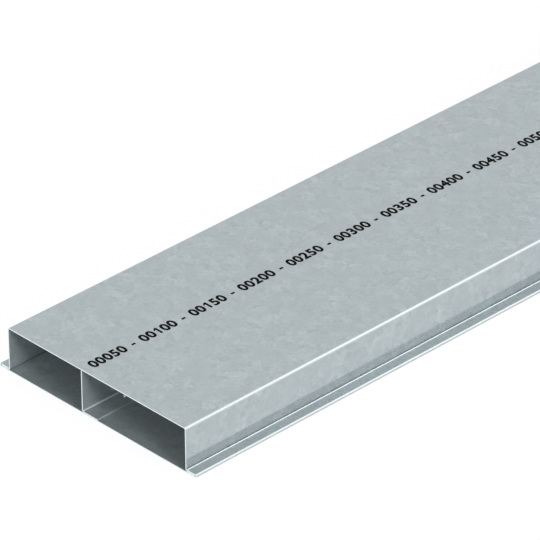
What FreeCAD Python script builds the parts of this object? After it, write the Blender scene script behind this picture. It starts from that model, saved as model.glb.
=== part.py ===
# Underfloor trunking for cables, laid on the raw floor and covered with screed.
# A folded cover is closed by a seamed base plate, and an upright divider splits the inside in two.
# Millimetres. +X across the duct, +Y along it, +Z up, origin under the middle of the base plate.
import FreeCAD, Part
import math
import os

# Whole duct
LENGTH = 2000.0  # one length as sold
DUCT_WIDTH = 190.0  # over the outer faces of the two walls
DUCT_HEIGHT = 38.0  # from the floor to the top face

# Sheets
COVER_SHEET = 1.0
BASE_SHEET = 1.0
DIVIDER_SHEET = 1.0
COVER_BEND_RADIUS = 1.0  # inside of every bend in the cover
DIVIDER_BEND_RADIUS = 1.0  # inside of the bend between web and foot

# Seam along both bottom edges, where the base plate grips the cover's flange
SEAM_REACH = 10.35  # from the outer wall face to the outside of the fold
LIP_GAP = 0.33  # from the outer wall face to the free edge of the folded lip
LIP_TURN_UP = 40.0  # degrees that the lip's free edge is turned up, so that it clears the cover's bend
LIP_TURN_LENGTH = 1.15  # from the corner of that turn to the free edge, along the middle of the sheet
FOLD_RADIUS = 0.3  # inside of the fold, which is pressed nearly flat
FLANGE_END_CLEARANCE = 0.6  # from the end of the cover's flange to where the fold begins

# Divider
LEFT_COMPARTMENT = 78.45  # clear width on the left of the web
FOOT_WIDTH = 16.4  # from the left face of the web to the free edge of the foot
DIVIDER_TOP_CLEARANCE = 0.2  # between the web and the underside of the top

# Clinch points, which hold the foot to the base plate
CLINCH_POINTS = 13  # evenly spaced
CLINCH_END_DISTANCE = 35.8  # from each open end to the nearest point
CLINCH_FROM_WEB = 7.35  # from the left face of the web to the middle of the points
CLINCH_DIMPLE_DIAMETER = 1.4  # hollow pressed in from below
CLINCH_CUP_WALL = 0.4  # what is left of the base sheet round the hollow and over it
CLINCH_BUTTON_WALL = 0.4  # what is left of the foot's sheet round the cup and over it
CLINCH_BUTTON_RISE = 1.0  # height of the button over the foot
CLINCH_BUTTON_ROUNDING = 0.7  # rounding of the button's upper edge

SAME_POINT = 1e-6  # two points nearer than this are one

half_width = DUCT_WIDTH / 2
front = -LENGTH / 2
foot_top = BASE_SHEET + DIVIDER_SHEET
web_left = -half_width + COVER_SHEET + LEFT_COMPARTMENT


def left_of(run):
    """Direction at right angles to a run of the section, on its left."""
    return FreeCAD.Vector(-run.z, 0, run.x)


def sheet_side(points, offset, middle_radius):
    """Edges of one face of a bent sheet, at a distance to the left of the middle of its section."""
    runs = [(b - a).normalize() for a, b in zip(points, points[1:])]
    edges = []
    start = points[0] + left_of(runs[0]) * offset
    for corner, before, after in zip(points[1:], runs, runs[1:]):
        half_turn = before.getAngle(after) / 2
        inwards = (after - before).normalize()
        centre = corner + inwards * (middle_radius / math.cos(half_turn))
        setback = middle_radius * math.tan(half_turn)
        bend_start = corner - before * setback + left_of(before) * offset
        bend_end = corner + after * setback + left_of(after) * offset
        bend_middle = centre - inwards * (bend_start - centre).Length
        if (bend_start - start).Length > SAME_POINT:
            edges.append(Part.LineSegment(start, bend_start).toShape())
        edges.append(Part.Arc(bend_start, bend_middle, bend_end).toShape())
        start = bend_end
    end = points[-1] + left_of(runs[-1]) * offset
    edges.append(Part.LineSegment(start, end).toShape())
    return edges


def bent_sheet(path, sheet, inside_radius):
    """One bent sheet over the whole length. The path is the middle of its section, as (x, z)."""
    points = [FreeCAD.Vector(x, front, z) for x, z in path]
    middle_radius = inside_radius + sheet / 2
    left = sheet_side(points, sheet / 2, middle_radius)
    right = sheet_side(points, -sheet / 2, middle_radius)
    first_cut = Part.LineSegment(left[0].firstVertex().Point, right[0].firstVertex().Point).toShape()
    last_cut = Part.LineSegment(left[-1].lastVertex().Point, right[-1].lastVertex().Point).toShape()
    outline = Part.Wire(Part.__sortEdges__(left + right + [first_cut, last_cut]))
    return Part.Face(outline).extrude(FreeCAD.Vector(0, LENGTH, 0))


def both_halves(left_half):
    """Path across the whole duct from its left half, which runs from the outside inwards."""
    return left_half + [(-x, z) for x, z in reversed(left_half)]


# Cover: hat section, its flanges lying on the base plate
wall_middle = half_width - COVER_SHEET / 2
flange_middle = BASE_SHEET + COVER_SHEET / 2
fold_begins = half_width + SEAM_REACH - BASE_SHEET - FOLD_RADIUS
cover_path = both_halves([
    (-fold_begins + FLANGE_END_CLEARANCE, flange_middle),
    (-wall_middle, flange_middle),
    (-wall_middle, DUCT_HEIGHT - COVER_SHEET / 2),
])
cover = bent_sheet(cover_path, COVER_SHEET, COVER_BEND_RADIUS)

# Base plate: each long edge is folded up and back over the cover's flange
fold_middle = half_width + SEAM_REACH - BASE_SHEET / 2
lip_middle = BASE_SHEET + COVER_SHEET + BASE_SHEET / 2
turn_up = math.radians(LIP_TURN_UP)
lip_edge = half_width + LIP_GAP + BASE_SHEET / 2 * math.sin(turn_up)
lip_corner = lip_edge + LIP_TURN_LENGTH * math.cos(turn_up)
base_path = both_halves([
    (-lip_edge, lip_middle + LIP_TURN_LENGTH * math.sin(turn_up)),
    (-lip_corner, lip_middle),
    (-fold_middle, lip_middle),
    (-fold_middle, BASE_SHEET / 2),
])
base_plate = bent_sheet(base_path, BASE_SHEET, FOLD_RADIUS)

# Divider: upright web with a foot to the right, lying on the base plate
web_middle = web_left + DIVIDER_SHEET / 2
foot_middle = BASE_SHEET + DIVIDER_SHEET / 2
divider_path = [
    (web_middle, DUCT_HEIGHT - COVER_SHEET - DIVIDER_TOP_CLEARANCE),
    (web_middle, foot_middle),
    (web_left + FOOT_WIDTH, foot_middle),
]
divider = bent_sheet(divider_path, DIVIDER_SHEET, DIVIDER_BEND_RADIUS)

# Clinch points: the base sheet is pressed up to a cup, which sits in a button of the foot's sheet
dimple_radius = CLINCH_DIMPLE_DIAMETER / 2
cup_radius = dimple_radius + CLINCH_CUP_WALL
button_radius = cup_radius + CLINCH_BUTTON_WALL
button_top = foot_top + CLINCH_BUTTON_RISE
cup_top = button_top - CLINCH_BUTTON_WALL
dimple_top = cup_top - CLINCH_CUP_WALL
clinch_x = web_left + CLINCH_FROM_WEB
clinch_pitch = (LENGTH - 2 * CLINCH_END_DISTANCE) / (CLINCH_POINTS - 1)


def clinch_round(radius, bottom, top, point):
    """Upright cylinder at one clinch point, counted from the front end."""
    place = front + CLINCH_END_DISTANCE + point * clinch_pitch
    return Part.makeCylinder(radius, top - bottom, FreeCAD.Vector(clinch_x, place, bottom))


def clinch_button(point):
    """Button with its upper edge rounded, reaching down to the middle of the foot's sheet."""
    button = clinch_round(button_radius, foot_middle, button_top, point)
    upper_edge = [edge for edge in button.Edges if edge.BoundBox.ZMin > foot_middle]
    return button.makeFillet(CLINCH_BUTTON_ROUNDING, upper_edge)


points = range(CLINCH_POINTS)
cups = [clinch_round(cup_radius, BASE_SHEET / 2, cup_top, i) for i in points]
dimples = [clinch_round(dimple_radius, -BASE_SHEET, dimple_top, i) for i in points]
base_plate = base_plate.fuse(cups).removeSplitter().cut(dimples)
buttons = [clinch_button(i) for i in points]
recesses = [clinch_round(cup_radius, 0, cup_top, i) for i in points]
divider = divider.fuse(buttons).removeSplitter().cut(recesses)

os.makedirs("parts", exist_ok=True)
cover.exportStep("parts/cover.step")
base_plate.exportStep("parts/base_plate.step")
divider.exportStep("parts/divider.step")
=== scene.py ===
import math
import bmesh
import bpy
from mathutils import Matrix, Vector


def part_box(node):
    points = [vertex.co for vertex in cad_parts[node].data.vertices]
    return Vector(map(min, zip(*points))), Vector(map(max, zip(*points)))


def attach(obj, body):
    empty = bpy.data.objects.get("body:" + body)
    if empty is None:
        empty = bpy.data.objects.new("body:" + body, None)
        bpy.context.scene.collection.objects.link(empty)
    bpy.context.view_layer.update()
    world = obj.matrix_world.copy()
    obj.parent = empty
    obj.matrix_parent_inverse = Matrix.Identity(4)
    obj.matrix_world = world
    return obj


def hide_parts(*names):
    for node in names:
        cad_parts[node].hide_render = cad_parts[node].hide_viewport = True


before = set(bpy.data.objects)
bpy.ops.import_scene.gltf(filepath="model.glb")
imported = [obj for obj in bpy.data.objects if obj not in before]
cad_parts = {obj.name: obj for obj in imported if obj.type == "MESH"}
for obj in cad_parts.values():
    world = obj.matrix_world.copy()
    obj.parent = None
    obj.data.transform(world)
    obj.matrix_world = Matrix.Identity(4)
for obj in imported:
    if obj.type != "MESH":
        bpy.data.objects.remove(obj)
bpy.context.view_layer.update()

# Base plate: one strip of 1 mm galvanised steel that lies flat on the raw floor.
# Both long edges are folded up and back over the cover's flanges, which closes the duct for good.
# The row of round hollows below is pressed up into the divider's foot and clinches it.
mm = 0.001  # metres
SHEET = 1.0 * mm
LIP_WIDTH = 8.82 * mm  # from the outside of the fold to where the lip turns up
LIP_TURN_UP = math.radians(40)  # the lip's free edge is turned up, so that it clears the cover's bend
LIP_TURN_LENGTH = 1.15 * mm
FOLD_RADIUS = 0.3 * mm  # inside of the fold, which is pressed nearly flat
BEND_STEP = math.radians(7.5)  # turn from one edge to the next round a bend
CUT_ROUNDING = 0.08 * mm  # sheared edges are broken that much
CUT_STEPS = 3  # flats round a broken edge
CORNER_LOSS = 0.9  # share of its rounding that a long cut loses towards the open end
SLIT_STRIP = 0.7 * mm  # strip along a slit edge over which its painted highlight fades
CLINCH_X = -8.2 * mm  # from the middle of the duct
CLINCH_POINTS = 13
CLINCH_END_DISTANCE = 35.8 * mm
CLINCH_PATCH = 4.5 * mm  # half the square of sheet that each clinch point is set in
CLINCH_SIDES = 32
CLINCH_ROUNDING_STEPS = 4
HOLLOW_RADIUS = 0.7 * mm
HOLLOW_TOP = 2.2 * mm  # heights are from the underside
HOLLOW_ROUNDING = 0.2 * mm
CUP_RADIUS = 1.1 * mm
CUP_TOP = 2.6 * mm
CUP_ROUNDING = 0.1 * mm
SAME_POINT = 0.0001 * mm  # two points nearer than this are one
# Each level other than 0 also paints the zinc paler, a painted highlight, and a die's or the shears' level
# makes it shinier.
FLAT = 0.0  # how hard the zinc was worked: not at all,
BENT = 1.0  # by a roller,
SLIT = 1.4  # by slitting shears,
PRESSED = 2.0  # by a die,
PUNCHED = -1.0  # or by a punch, with a minus because it leaves the zinc matt
RUB_AND_GLEAM_FADE = 1.5  # power by which a tool's work, and the highlight painted with it, fades from the middle of a bend to its ends
PUNCH_NOSE = 2.5  # a punch works a bend that much more evenly than a roller, which widens the bend's painted highlight
LEFT = 1  # face of a sheet, seen along its path
RIGHT = -1
CUT_SLOT = 1  # material slot of the sheared ends, the rest of a sheet has the first slot

plate_low, plate_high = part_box("base_plate")
front = plate_low.y
back = plate_high.y
clinch_pitch = (back - front - 2 * CLINCH_END_DISTANCE) / (CLINCH_POINTS - 1)
clinch_places = [front + CLINCH_END_DISTANCE + i * clinch_pitch for i in range(CLINCH_POINTS)]


def left_of(run):
    """Direction at right angles to a run of the section, on its left."""
    return Vector((-run.y, run.x))


def quarter_turn(steps):
    """Angles from 0 to 90 degrees."""
    return [math.pi / 2 * i / steps for i in range(steps + 1)]


def bent_line(path, inside_radius, face, punched):
    """Middle of a bent sheet's section: points (x, z), the sheet's direction there, and how it was worked,
    which also sets a painted highlight.
    The tool runs on one face, and works the bends' outside there, or their inside if it is a punch; the
    highlight is painted where it works."""
    radius = inside_radius + SHEET / 2
    corners = [Vector(point) for point in path]
    runs = [(b - a).normalized() for a, b in zip(corners, corners[1:])]
    line = [(corners[0], runs[0], FLAT), (corners[0] + runs[0] * SLIT_STRIP, runs[0], FLAT)]
    for corner, before, after in zip(corners[1:], runs, runs[1:]):
        turn = math.atan2(before.cross(after), before.dot(after))
        bent_in = left_of(before) * math.copysign(radius, turn)
        centre = corner - before * radius * math.tan(abs(turn) / 2) + bent_in
        steps = max(1, round(abs(turn) / BEND_STEP))
        tooled_and_gleaming = face == math.copysign(1, turn if punched else -turn)
        for i in range(steps + 1):
            turned = Matrix.Rotation(turn * i / steps, 2)
            point = centre - turned @ bent_in
            # the work, and the highlight painted with it, is strongest at the middle of the bend
            rub_and_gleam = math.sin(math.pi * i / steps) ** RUB_AND_GLEAM_FADE
            if not tooled_and_gleaming:
                worked_and_painted_gleam = FLAT
            elif punched:
                worked_and_painted_gleam = PUNCHED * min(1.0, PUNCH_NOSE * rub_and_gleam)
            else:
                worked_and_painted_gleam = BENT * rub_and_gleam
            if (point - line[-1][0]).length > SAME_POINT:
                line.append((point, turned @ before, worked_and_painted_gleam))
    line.append((corners[-1] - runs[-1] * SLIT_STRIP, runs[-1], FLAT))
    line.append((corners[-1], runs[-1], FLAT))
    return line


def cut_edge(end, way, inset):
    """Sheared edge of a section, from the face on the left of the way out to the face on its right."""
    rounding = CUT_ROUNDING - CORNER_LOSS * inset
    middle = end - way * (inset + rounding)
    flat = SHEET / 2 - inset - rounding
    sides = []
    for side in (left_of(way), -left_of(way)):
        arc = [side * math.cos(a) + way * math.sin(a) for a in quarter_turn(CUT_STEPS)]
        sides.append([middle + side * flat + out * rounding for out in arc])
    return sides[0] + sides[1][::-1]


def section_outline(line, inset):
    """Closed outline of a section drawn in by an inset: left face, last cut, right face, first cut."""
    half = SHEET / 2 - inset
    left_face = [point + left_of(run) * half for point, run, worked_and_painted_gleam in line[1:-1]]
    right_face = [point - left_of(run) * half for point, run, worked_and_painted_gleam in line[-2:0:-1]]
    last_cut = cut_edge(line[-1][0], line[-1][1], inset)
    first_cut = cut_edge(line[0][0], -line[0][1], inset)
    return left_face + last_cut + right_face + first_cut


def pressed_round(radius, level, top, rounding):
    """Rings (radius, height) of a round pressed up from a flat level, with its foot and rim rounded."""
    turns = quarter_turn(CLINCH_ROUNDING_STEPS)
    fillet = min(rounding, (top - level - rounding) / 2)
    foot = [(radius + fillet * (1 - math.sin(a)), level + fillet * (1 - math.cos(a))) for a in turns]
    rim = [(radius - rounding * (1 - math.cos(a)), top - rounding * (1 - math.sin(a))) for a in turns]
    return foot + rim


def press_into(mesh, corners, place, rings):
    """Fills a square hole in a sheet's face with a pressed round. The corners run round the square."""
    work_and_gleam_layer = mesh.verts.layers.float["worked_and_painted_gleam"]
    inner = None
    per_corner = CLINCH_SIDES // 4
    first_angle = math.radians(-135)  # towards the first corner
    for radius, height in rings:
        outer, inner = inner, []
        for k in range(CLINCH_SIDES):
            a = first_angle + 2 * math.pi * k / CLINCH_SIDES
            point = mesh.verts.new((CLINCH_X + radius * math.cos(a), place + radius * math.sin(a), height))
            # The pressed round is painted pale, a painted glint, and gets more metal.
            point[work_and_gleam_layer] = PRESSED if outer else FLAT
            inner.append(point)
        for k in range(CLINCH_SIDES):
            here, after = inner[k], inner[(k + 1) % CLINCH_SIDES]
            if outer:
                mesh.faces.new((outer[k], outer[(k + 1) % CLINCH_SIDES], after, here))
            else:
                nearest = (k + per_corner // 2) // per_corner % 4
                mesh.faces.new((corners[nearest], after, here))
        if not outer:
            for q in range(4):
                between = inner[(q * per_corner + per_corner // 2) % CLINCH_SIDES]
                mesh.faces.new((corners[q], corners[(q + 1) % 4], between))
    mesh.faces.new(inner)


def bent_sheet(path, inside_radius, face, punched=False, level=None, rounds=()):
    """Mesh of one bent sheet from open end to open end. Where it is clinched, the middle of its flat
    is at the level, and the rounds are the rings of the flat's two faces."""
    line = bent_line(path, inside_radius, face, punched)
    faces = len(line) - 2
    cut = 2 * (CUT_STEPS + 1)
    count = 2 * (faces + cut)
    mates = [count - cut - 1 - j for j in range(faces)]
    left_work_and_gleam = [worked_and_painted_gleam if face == LEFT else FLAT for point, run, worked_and_painted_gleam in line[1:-1]]
    right_work_and_gleam = [worked_and_painted_gleam if face == RIGHT else FLAT for point, run, worked_and_painted_gleam in line[-2:0:-1]]
    # The corners of a slit edge get a painted highlight, and all of a punched sheet's cut does.
    cut_work_and_gleam = [SLIT] + [SLIT if punched else FLAT] * (cut - 2) + [SLIT]
    outline_work_and_gleam = left_work_and_gleam + cut_work_and_gleam + right_work_and_gleam + cut_work_and_gleam

    turns = quarter_turn(CUT_STEPS)
    rounded = [(CUT_ROUNDING * (1 - math.cos(a)), CUT_ROUNDING * (1 - math.sin(a))) for a in turns]
    stations = [(front + depth, inset) for depth, inset in rounded]
    if rounds:
        stations += [(y + side, 0.0) for y in clinch_places for side in (-CLINCH_PATCH, CLINCH_PATCH)]
    stations += [(back - depth, inset) for depth, inset in reversed(rounded)]

    mesh = bmesh.new()
    work_and_gleam_layer = mesh.verts.layers.float.new("worked_and_painted_gleam")
    rows = []
    for y, inset in stations:
        row = [mesh.verts.new((x, y, z)) for x, z in section_outline(line, inset)]
        for point, worked_and_painted_gleam in zip(row, outline_work_and_gleam):
            point[work_and_gleam_layer] = worked_and_painted_gleam
        rows.append(row)

    clinched_rows = {}
    clinched_faces = ()
    if rounds:
        corner = Vector((CLINCH_X - CLINCH_PATCH, level))
        near = min(range(faces), key=lambda j: (line[j + 1][0] - corner).length)
        clinched_rows = {len(rounded) + 2 * i: y for i, y in enumerate(clinch_places)}
        clinched_faces = (near, mates[near + 1])
    for i, (row, after) in enumerate(zip(rows, rows[1:])):
        for j in range(count):
            if i in clinched_rows and j in clinched_faces:
                continue
            k = (j + 1) % count
            mesh.faces.new((row[j], row[k], after[k], after[j]))
        if i in clinched_rows:
            for rings, (a, b) in zip(rounds, ((near, near + 1), (mates[near], mates[near + 1]))):
                press_into(mesh, (row[a], row[b], after[b], after[a]), clinched_rows[i], rings)
    for row in (rows[0], rows[-1]):
        ends = [[row[faces - 1]] + row[faces:faces + cut] + [row[mates[-1]]]]
        ends.append([row[mates[0]]] + row[count - cut:] + [row[0]])
        ends += [[row[j], row[j + 1], row[mates[j + 1]], row[mates[j]]] for j in range(faces - 1)]
        for end in ends:
            mesh.faces.new(end).material_index = CUT_SLOT
    bmesh.ops.recalc_face_normals(mesh, faces=mesh.faces[:])
    return mesh


def linear(colour):
    """Linear RGBA of an sRGB hex colour."""
    parts = [int(colour[i:i + 2], 16) / 255 for i in (1, 3, 5)]
    return [c / 12.92 if c <= 0.04045 else ((c + 0.055) / 1.055) ** 2.4 for c in parts] + [1.0]


COLOUR_A = 6  # sockets of a mix node that mixes colours
COLOUR_B = 7
MIXED_COLOUR = 2


def new_material(name):
    """Material with an empty node tree."""
    material = bpy.data.materials.new(name)
    material.use_nodes = True
    material.node_tree.nodes.clear()
    return material


def add_node(tree, kind, inputs={}, **settings):
    """Adds a node. An input takes a plain value, or the output of another node, which is linked to it."""
    node = tree.nodes.new(kind)
    for name, value in settings.items():
        setattr(node, name, value)
    for name, value in inputs.items():
        if isinstance(value, bpy.types.NodeSocket):
            tree.links.new(value, node.inputs[name])
        else:
            node.inputs[name].default_value = value
    return node


# Strip-galvanised steel, hot dipped and skin-passed: satin grey zinc with a faint, fine spangle.
# The eye sees a frosty cloud of slightly different greys, and reflections with a soft edge.
# Where a roller bent the sheet, the zinc is painted paler as a painted highlight, and so are the slit
# edges. A punch's bends get the same painted highlight and are matt, a die's buttons a painted glint and
# are shiny.
SPANGLE = 6.0 * mm  # one crystal of zinc
SPANGLE_WANDER = 4.0 * mm  # how far a crystal's outline strays
FROST = 3.2 * mm  # feathery grain within the crystals
CLOUD = 18.0 * mm  # patches in which the crystals stand out more or less
ORANGE_PEEL = 14.0 * mm  # waves that the skin pass leaves
ORANGE_PEEL_HEIGHT = 0.06 * mm
CRYSTAL_SHARE = 0.2  # of the crystals in the grain, the rest is frost
PLAIN_TONE = 0.45  # tone of the grain where it has no contrast
THIN_CLOUD = 0.35  # noise level of the patches with the least contrast
THICK_CLOUD = 0.65  # and of those with the most
LEAST_CONTRAST = 0.37
MOST_CONTRAST = 1.75
DARK_ROUGHNESS = 0.11  # of the darkest grain
PALE_ROUGHNESS = 0.07  # and of the palest
SHEET_METAL = 0.45  # share of bare metal in what the sheet reflects
PRESSED_METAL = 0.95  # where a die polished it
PUNCHED_LOSS = 0.2  # what a punch takes off that share

zinc = new_material("strip_galvanised_steel_skin_passed")
tree = zinc.node_tree
place = add_node(tree, "ShaderNodeTexCoord").outputs["Object"]
frost = add_node(tree, "ShaderNodeTexNoise", {
    "Vector": place, "Scale": 1 / FROST, "Detail": 4.0, "Roughness": 0.66})
strayed = add_node(tree, "ShaderNodeVectorMath", {
    0: frost.outputs["Color"], 1: [SPANGLE_WANDER] * 3, 2: place}, operation="MULTIPLY_ADD")
crystal = add_node(tree, "ShaderNodeTexVoronoi", {"Vector": strayed.outputs[0], "Scale": 1 / SPANGLE})
facing = add_node(tree, "ShaderNodeSeparateColor", {"Color": crystal.outputs["Color"]})
cloud = add_node(tree, "ShaderNodeTexNoise", {"Vector": place, "Scale": 1 / CLOUD, "Detail": 2.0})
grain = add_node(tree, "ShaderNodeMix", {
    "Factor": CRYSTAL_SHARE, "A": frost.outputs["Fac"], "B": facing.outputs["Red"]},
    data_type="FLOAT")
contrast = add_node(tree, "ShaderNodeMapRange", {
    "Value": cloud.outputs["Fac"], "From Min": THIN_CLOUD, "From Max": THICK_CLOUD,
    "To Min": LEAST_CONTRAST, "To Max": MOST_CONTRAST})
tone = add_node(tree, "ShaderNodeMix", {
    "Factor": contrast.outputs["Result"], "A": PLAIN_TONE, "B": grain.outputs["Result"]},
    data_type="FLOAT", clamp_factor=False)
grey = add_node(tree, "ShaderNodeMix", {
    "Factor": tone.outputs["Result"], COLOUR_A: linear("#9da7aa"), COLOUR_B: linear("#c5cfd2")},
    data_type="RGBA")
worked_and_painted_gleam = add_node(tree, "ShaderNodeAttribute", attribute_name="worked_and_painted_gleam").outputs["Fac"]
# Painted highlight: the zinc is painted towards #ecf4f6 by how hard it was worked.
painted_highlight = add_node(tree, "ShaderNodeMath", {0: worked_and_painted_gleam}, operation="ABSOLUTE")
zinc_with_painted_highlight = add_node(tree, "ShaderNodeMix", {
    "Factor": painted_highlight.outputs[0], COLOUR_A: grey.outputs[MIXED_COLOUR], COLOUR_B: linear("#ecf4f6")},
    data_type="RGBA")
shine = add_node(tree, "ShaderNodeMapRange", {
    "Value": worked_and_painted_gleam, "From Min": BENT, "From Max": PRESSED,
    "To Min": SHEET_METAL, "To Max": PRESSED_METAL})
matt = add_node(tree, "ShaderNodeMapRange", {
    "Value": worked_and_painted_gleam, "From Min": PUNCHED, "From Max": FLAT, "To Min": -PUNCHED_LOSS, "To Max": 0.0})
metal = add_node(tree, "ShaderNodeMath", {0: shine.outputs["Result"], 1: matt.outputs["Result"]})
satin = add_node(tree, "ShaderNodeMapRange", {
    "Value": tone.outputs["Result"], "To Min": DARK_ROUGHNESS, "To Max": PALE_ROUGHNESS})
peel = add_node(tree, "ShaderNodeTexNoise", {"Vector": place, "Scale": 1 / ORANGE_PEEL, "Detail": 2.0})
relief = add_node(tree, "ShaderNodeBump", {
    "Height": peel.outputs["Fac"], "Distance": ORANGE_PEEL_HEIGHT, "Strength": 1.0})
surface = add_node(tree, "ShaderNodeBsdfPrincipled", {
    "Base Color": zinc_with_painted_highlight.outputs[MIXED_COLOUR], "Metallic": metal.outputs[0],
    "Roughness": satin.outputs["Result"], "Normal": relief.outputs["Normal"]})
add_node(tree, "ShaderNodeOutputMaterial", {"Surface": surface.outputs["BSDF"]})

# Bare steel where each length was sheared off: bright and finely torn across the thickness of the sheet.
# The eye sees a thin pale line round the open end.
SHEAR_TEAR = 0.4 * mm  # coarser than the real tear, which would not show
SHEAR_TEAR_DEPTH = 0.02 * mm

cut_steel = new_material("bare_steel_sheared")
tree = cut_steel.node_tree
place = add_node(tree, "ShaderNodeTexCoord").outputs["Object"]
tear = add_node(tree, "ShaderNodeTexNoise", {"Vector": place, "Scale": 1 / SHEAR_TEAR, "Detail": 2.0})
bright = add_node(tree, "ShaderNodeMix", {
    "Factor": tear.outputs["Fac"], COLOUR_A: linear("#e8f3f6"), COLOUR_B: linear("#f6feff")},
    data_type="RGBA")
relief = add_node(tree, "ShaderNodeBump", {
    "Height": tear.outputs["Fac"], "Distance": SHEAR_TEAR_DEPTH, "Strength": 0.5})
surface = add_node(tree, "ShaderNodeBsdfPrincipled", {
    "Base Color": bright.outputs[MIXED_COLOUR], "Metallic": 0.85, "Roughness": 0.4,
    "Normal": relief.outputs["Normal"]})
add_node(tree, "ShaderNodeOutputMaterial", {"Surface": surface.outputs["BSDF"]})

SHARP_CORNER = math.radians(50)  # corners that turn further than this are drawn sharp


def sheet_piece(name, mesh):
    """Object of a sheet, whose flat faces stay flat to the eye up to the bends."""
    data = bpy.data.meshes.new(name)
    mesh.to_mesh(data)
    mesh.free()
    data.shade_smooth()
    data.set_sharp_from_angle(angle=SHARP_CORNER)
    data.materials.append(zinc)
    data.materials.append(cut_steel)
    piece = bpy.data.objects.new(name, data)
    bpy.context.scene.collection.objects.link(piece)
    piece.modifiers.new("flat_faces", "WEIGHTED_NORMAL").keep_sharp = True
    return piece


def mirrored(left_half):
    """Right half of a path across the duct. The left half runs from the outside inwards."""
    return [(-x, z) for x, z in reversed(left_half)]


lip_corner = plate_low.x + LIP_WIDTH
fold_middle = plate_low.x + SHEET / 2
plate_middle = plate_low.z + SHEET / 2
lip_middle = plate_middle + 2 * SHEET  # the cover's flange lies between them
lip_rise = LIP_TURN_LENGTH * math.sin(LIP_TURN_UP)
lip_edge = lip_corner + LIP_TURN_LENGTH * math.cos(LIP_TURN_UP)
plate_left = [
    (lip_edge, lip_middle + lip_rise),
    (lip_corner, lip_middle),
    (fold_middle, lip_middle),
    (fold_middle, plate_middle),
]
clinched = [(CLINCH_X - CLINCH_PATCH, plate_middle), (CLINCH_X + CLINCH_PATCH, plate_middle)]
plate_path = plate_left + clinched + mirrored(plate_left)
cup = pressed_round(CUP_RADIUS, plate_low.z + SHEET, CUP_TOP, CUP_ROUNDING)
hollow = pressed_round(HOLLOW_RADIUS, plate_low.z, HOLLOW_TOP, HOLLOW_ROUNDING)
plate_mesh = bent_sheet(plate_path, FOLD_RADIUS, RIGHT, level=plate_middle, rounds=(cup, hollow))
plate = sheet_piece("folded_base_plate", plate_mesh)
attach(plate, "root")
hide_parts("base_plate")

# Divider: a strip of the same steel folded to an L, which keeps power and data cables apart.
# Its foot lies on the base plate, and the clinch points stand up from it as small round buttons.
DIVIDER_RADIUS = 1.0 * mm
BUTTON_RADIUS = 1.5 * mm
BUTTON_TOP = 3.0 * mm
BUTTON_ROUNDING = 0.7 * mm

divider_low, divider_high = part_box("divider")
web_middle = divider_low.x + SHEET / 2
foot_middle = divider_low.z + SHEET / 2
divider_path = [
    (web_middle, divider_high.z),
    (web_middle, foot_middle),
    (CLINCH_X - CLINCH_PATCH, foot_middle),
    (CLINCH_X + CLINCH_PATCH, foot_middle),
    (divider_high.x, foot_middle),
]
button = pressed_round(BUTTON_RADIUS, divider_low.z + SHEET, BUTTON_TOP, BUTTON_ROUNDING)
recess = pressed_round(CUP_RADIUS, divider_low.z, CUP_TOP, CUP_ROUNDING)
divider_mesh = bent_sheet(
    divider_path, DIVIDER_RADIUS, LEFT, punched=True, level=foot_middle, rounds=(button, recess))
divider = sheet_piece("clinched_divider", divider_mesh)
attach(divider, "root")
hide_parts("divider")

# Cover: one sheet of the same steel folded to a hat, with its flanges gripped by the base plate.
# It carries the load of the screed, and its top is all that shows of the duct on site.
DUCT_WIDTH = 190.0 * mm  # over the outer faces of the two walls
COVER_RADIUS = 1.0 * mm

cover_low, cover_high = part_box("cover")
wall_middle = DUCT_WIDTH / 2 - SHEET / 2
flange_middle = cover_low.z + SHEET / 2
top_middle = cover_high.z - SHEET / 2
cover_left = [
    (cover_low.x, flange_middle),
    (-wall_middle, flange_middle),
    (-wall_middle, top_middle),
]
cover_mesh = bent_sheet(cover_left + mirrored(cover_left), COVER_RADIUS, LEFT)
cover = sheet_piece("hat_section_cover", cover_mesh)
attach(cover, "root")
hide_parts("cover")

# Cutting scale: a line of plain numbers, sprayed on the cover in quick-drying black ink.
# Each dash stands at a distance from the open end, which the number before it tells in millimetres.
FIGURE_HEIGHT = 8.7 * mm
FIGURE_PITCH = 7.0 * mm
FIGURE_FOOT_X = -9.75 * mm  # the figures' feet, their heads lie further to the left
SCALE_STEP = 50  # millimetres from one dash to the next
STROKE = 2.0 * mm  # of the dash and the 1
DASH_LENGTH = 3.6 * mm
DASH_HEIGHT = 2.6 * mm  # of its lower edge
ONE_STEM = 0.6 * mm  # the stem of the 1, off the middle of its place
ONE_FLAG_REACH = 2.0 * mm
ONE_FLAG_DROP = 1.6 * mm  # from the head of the 1 to the tip of its flag
INK_HEIGHT = 0.02 * mm  # how far the dried ink stands proud
INK_SPECKLE = 1.2 * mm
FONT_HEIGHT = 0.682  # of a figure, in a font of size 1
STROKE_GAIN = 0.040  # ink spreads that much, in a font of size 1

# Quick-drying black ink, sprayed: matt, slightly uneven black.
ink = new_material("black_coding_ink_sprayed")
tree = ink.node_tree
place = add_node(tree, "ShaderNodeTexCoord").outputs["Object"]
speckle = add_node(tree, "ShaderNodeTexNoise", {"Vector": place, "Scale": 1 / INK_SPECKLE, "Detail": 3.0})
black = add_node(tree, "ShaderNodeMix", {
    "Factor": speckle.outputs["Fac"], COLOUR_A: linear("#060607"), COLOUR_B: linear("#111112")},
    data_type="RGBA")
surface = add_node(tree, "ShaderNodeBsdfPrincipled", {
    "Base Color": black.outputs[MIXED_COLOUR], "Roughness": 0.85, "Specular IOR Level": 0.05})
add_node(tree, "ShaderNodeOutputMaterial", {"Surface": surface.outputs["BSDF"]})

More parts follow.
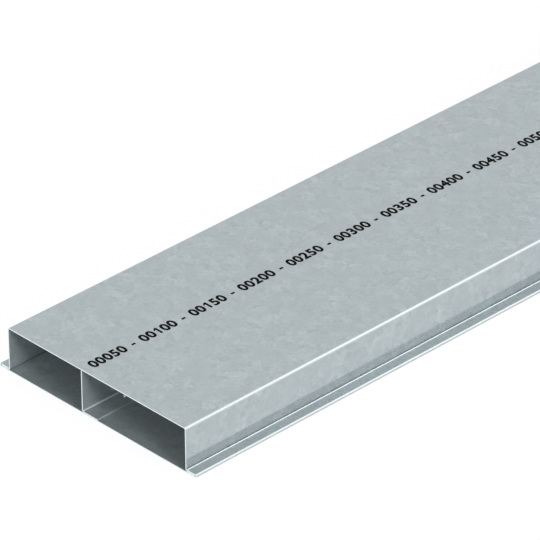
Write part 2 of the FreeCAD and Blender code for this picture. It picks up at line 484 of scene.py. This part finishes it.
figure_scale = FIGURE_HEIGHT / FONT_HEIGHT
figure_text = bpy.data.curves.new("figure", "FONT")
figure_text.align_x = "CENTER"
figure_text.size = figure_scale
figure_text.offset = STROKE_GAIN * figure_scale
figure_text.extrude = INK_HEIGHT
figure_object = bpy.data.objects.new("figure", figure_text)
stem_left = ONE_STEM - STROKE / 2
stem_right = ONE_STEM + STROKE / 2
flag_tip = FIGURE_HEIGHT - ONE_FLAG_DROP
DRAWN = {  # outlines of the signs that are plain strokes, from the middle of their foot
    "-": [
        (-DASH_LENGTH / 2, DASH_HEIGHT),
        (DASH_LENGTH / 2, DASH_HEIGHT),
        (DASH_LENGTH / 2, DASH_HEIGHT + STROKE),
        (-DASH_LENGTH / 2, DASH_HEIGHT + STROKE),
    ],
    "1": [
        (stem_left, 0.0),
        (stem_right, 0.0),
        (stem_right, FIGURE_HEIGHT),
        (stem_left, FIGURE_HEIGHT),
        (-ONE_FLAG_REACH, flag_tip),
        (-ONE_FLAG_REACH, flag_tip - STROKE),
        (stem_left, FIGURE_HEIGHT - STROKE),
    ],
}
scale_mesh = bmesh.new()


def print_figure(sign, along):
    """Adds one sign of the scale, with its middle at a distance from the open end.
    The 6 is a 9 turned head down."""
    turned = Matrix.Rotation(math.pi / 2, 4, "Z")
    placed = Matrix.Translation((FIGURE_FOOT_X, front + along, cover_high.z)) @ turned
    if sign in DRAWN:
        below = [scale_mesh.verts.new(placed @ Vector((x, y, -INK_HEIGHT))) for x, y in DRAWN[sign]]
        above = [scale_mesh.verts.new(placed @ Vector((x, y, INK_HEIGHT))) for x, y in DRAWN[sign]]
        scale_mesh.faces.new(below[::-1])
        scale_mesh.faces.new(above)
        for i in range(len(below)):
            scale_mesh.faces.new((below[i - 1], below[i], above[i], above[i - 1]))
        return
    if sign == "6":
        placed = placed @ Matrix.Translation((0.0, FIGURE_HEIGHT, 0.0))
        placed = placed @ Matrix.Rotation(math.pi, 4, "Z")
    figure_text.body = sign.replace("6", "9")
    shape = bpy.data.meshes.new_from_object(figure_object)
    shape.transform(placed)
    scale_mesh.from_mesh(shape)
    bpy.data.meshes.remove(shape)


length = round((back - front) / mm)
for mark in range(SCALE_STEP, length, SCALE_STEP):
    figures = f"{mark:05d}"
    print_figure("-", mark * mm)
    first = (mark - SCALE_STEP / 2) * mm - (len(figures) - 1) / 2 * FIGURE_PITCH
    for i, sign in enumerate(figures):
        print_figure(sign, first + i * FIGURE_PITCH)
bmesh.ops.remove_doubles(scale_mesh, verts=scale_mesh.verts[:], dist=SAME_POINT)
scale_data = bpy.data.meshes.new("printed_cutting_scale")
scale_mesh.to_mesh(scale_data)
scale_mesh.free()
bpy.data.objects.remove(figure_object)
scale_data.materials.append(ink)
scale = bpy.data.objects.new("printed_cutting_scale", scale_data)
bpy.context.scene.collection.objects.link(scale)
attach(scale, "root")

# Studio floor: a wide board with no edge in view, painted matt white, on which the duct lies.
# To the camera and in reflections it is white, apart from the duct's shadow.
FLOOR_REACH = 30.0  # metres from the duct to the board's edges
FLOOR_LEVEL = -0.1 * mm  # just under the base plate
FLOOR_LIT = 0.15  # share of the floor's white that shadows can take away
FLOOR_WHITE = 1.05  # a little over the picture's white


def in_view(tree):
    """1 where the camera looks, also through a mirror or glass, and 0 for the light on other things."""
    ray = add_node(tree, "ShaderNodeLightPath").outputs
    seen = add_node(tree, "ShaderNodeMath", {
        0: ray["Is Camera Ray"], 1: ray["Is Glossy Ray"]}, operation="MAXIMUM")
    seen = add_node(tree, "ShaderNodeMath", {
        0: seen.outputs[0], 1: ray["Is Transmission Ray"]}, operation="MAXIMUM")
    return seen.outputs[0]


floor_data = bpy.data.meshes.new("studio_floor")
reach = [(x * FLOOR_REACH, y * FLOOR_REACH, FLOOR_LEVEL) for x, y in ((-1, -1), (1, -1), (1, 1), (-1, 1))]
floor_data.from_pydata(reach, [], [(0, 1, 2, 3)])
floor = bpy.data.objects.new("studio_floor", floor_data)
bpy.context.scene.collection.objects.link(floor)
board = new_material("white_board_matt_painted")
tree = board.node_tree
paint = add_node(tree, "ShaderNodeBsdfDiffuse", {"Color": linear("#e8e8e8")})
shadowed = add_node(tree, "ShaderNodeBsdfDiffuse", {"Color": [FLOOR_LIT] * 3 + [1.0]})
white = add_node(tree, "ShaderNodeEmission", {"Color": [1.0] * 4, "Strength": FLOOR_WHITE - FLOOR_LIT})
clear = add_node(tree, "ShaderNodeAddShader", {0: shadowed.outputs[0], 1: white.outputs[0]})
board_mix = add_node(tree, "ShaderNodeMixShader", {
    0: in_view(tree), 1: paint.outputs[0], 2: clear.outputs[0]})
add_node(tree, "ShaderNodeOutputMaterial", {"Surface": board_mix.outputs[0]})
floor_data.materials.append(board)

# Light: a white studio all round and four softboxes, which look at the part of the duct in the picture.
# The strongest one stands low on the duct's right side, and lights the bends, whose gleam is partly a
# painted highlight.
WORLD_FILL = 0.44  # share of the studio's white that lights the duct
SHOWN_LENGTH = 0.6  # metres of the duct in the picture
BOX_DISTANCE = 4.5  # metres

world = bpy.data.worlds.new("white_studio")
bpy.context.scene.world = world
world.use_nodes = True
tree = world.node_tree
tree.nodes.clear()
strength = add_node(tree, "ShaderNodeMapRange", {
    "Value": in_view(tree), "To Min": WORLD_FILL, "To Max": 1.0})
studio = add_node(tree, "ShaderNodeBackground", {
    "Color": [1.0] * 4, "Strength": strength.outputs["Result"]})
add_node(tree, "ShaderNodeOutputWorld", {"Surface": studio.outputs[0]})


def softbox(name, azimuth, elevation, side, radiance):
    """Square lamp, unseen by the camera. The azimuth turns from the duct's right side to its open end."""
    lamp = bpy.data.lights.new(name, "AREA")
    lamp.size = side
    lamp.energy = radiance * math.pi * side ** 2
    box = bpy.data.objects.new(name, lamp)
    level = math.cos(math.radians(elevation))
    towards = Vector((
        level * math.cos(math.radians(azimuth)),
        -level * math.sin(math.radians(azimuth)),
        math.sin(math.radians(elevation)),
    ))
    box.location = Vector((0.0, front + SHOWN_LENGTH / 2, 0.0)) + towards * BOX_DISTANCE
    box.rotation_euler = towards.to_track_quat("Z", "Y").to_euler()
    box.visible_camera = False
    bpy.context.scene.collection.objects.link(box)


softbox("key_softbox", azimuth=15, elevation=24, side=0.8, radiance=37.5)
softbox("front_softbox", azimuth=80, elevation=35, side=1.2, radiance=5.8)
softbox("back_softbox", azimuth=-54, elevation=42, side=1.55, radiance=0.58)
softbox("overhead_softbox", azimuth=-49, elevation=75, side=2.0, radiance=2.1)

# Camera: a long lens from the front right, looking down on the open end.
# The far end of the duct lies outside the picture.
PHOTO_SIDE = 540  # pixels
OPEN_END_PIXEL = (96.56, 421.23)  # where the middle of the open end's lower edge shows
OPEN_END_DISTANCE = 3.8965  # metres to that point, along the line of sight
AZIMUTH = math.radians(46.189)
ELEVATION = math.radians(31.487)
ROLL = math.radians(-0.511)
SENSOR = 36.0  # millimetres, as the lens
LENS = 358.41
CLIP_END = 100.0  # metres, beyond the floor's edge

camera_data = bpy.data.cameras.new("camera")
camera_data.lens = LENS
camera_data.sensor_width = SENSOR
camera_data.clip_end = CLIP_END
camera = bpy.data.objects.new("camera", camera_data)
turn = Matrix.Rotation(AZIMUTH, 3, "Z")
turn = turn @ Matrix.Rotation(math.pi / 2 - ELEVATION, 3, "X")
turn = turn @ Matrix.Rotation(ROLL, 3, "Z")
per_pixel = OPEN_END_DISTANCE * SENSOR / LENS / PHOTO_SIDE
across = (OPEN_END_PIXEL[0] - PHOTO_SIDE / 2) * per_pixel
up = (PHOTO_SIDE / 2 - OPEN_END_PIXEL[1]) * per_pixel
stand = Vector((0.0, front, 0.0)) - turn @ Vector((across, up, -OPEN_END_DISTANCE))
camera.matrix_world = Matrix.Translation(stand) @ turn.to_4x4()
bpy.context.scene.collection.objects.link(camera)
bpy.context.scene.camera = camera
bpy.context.scene.view_settings.view_transform = "Standard"
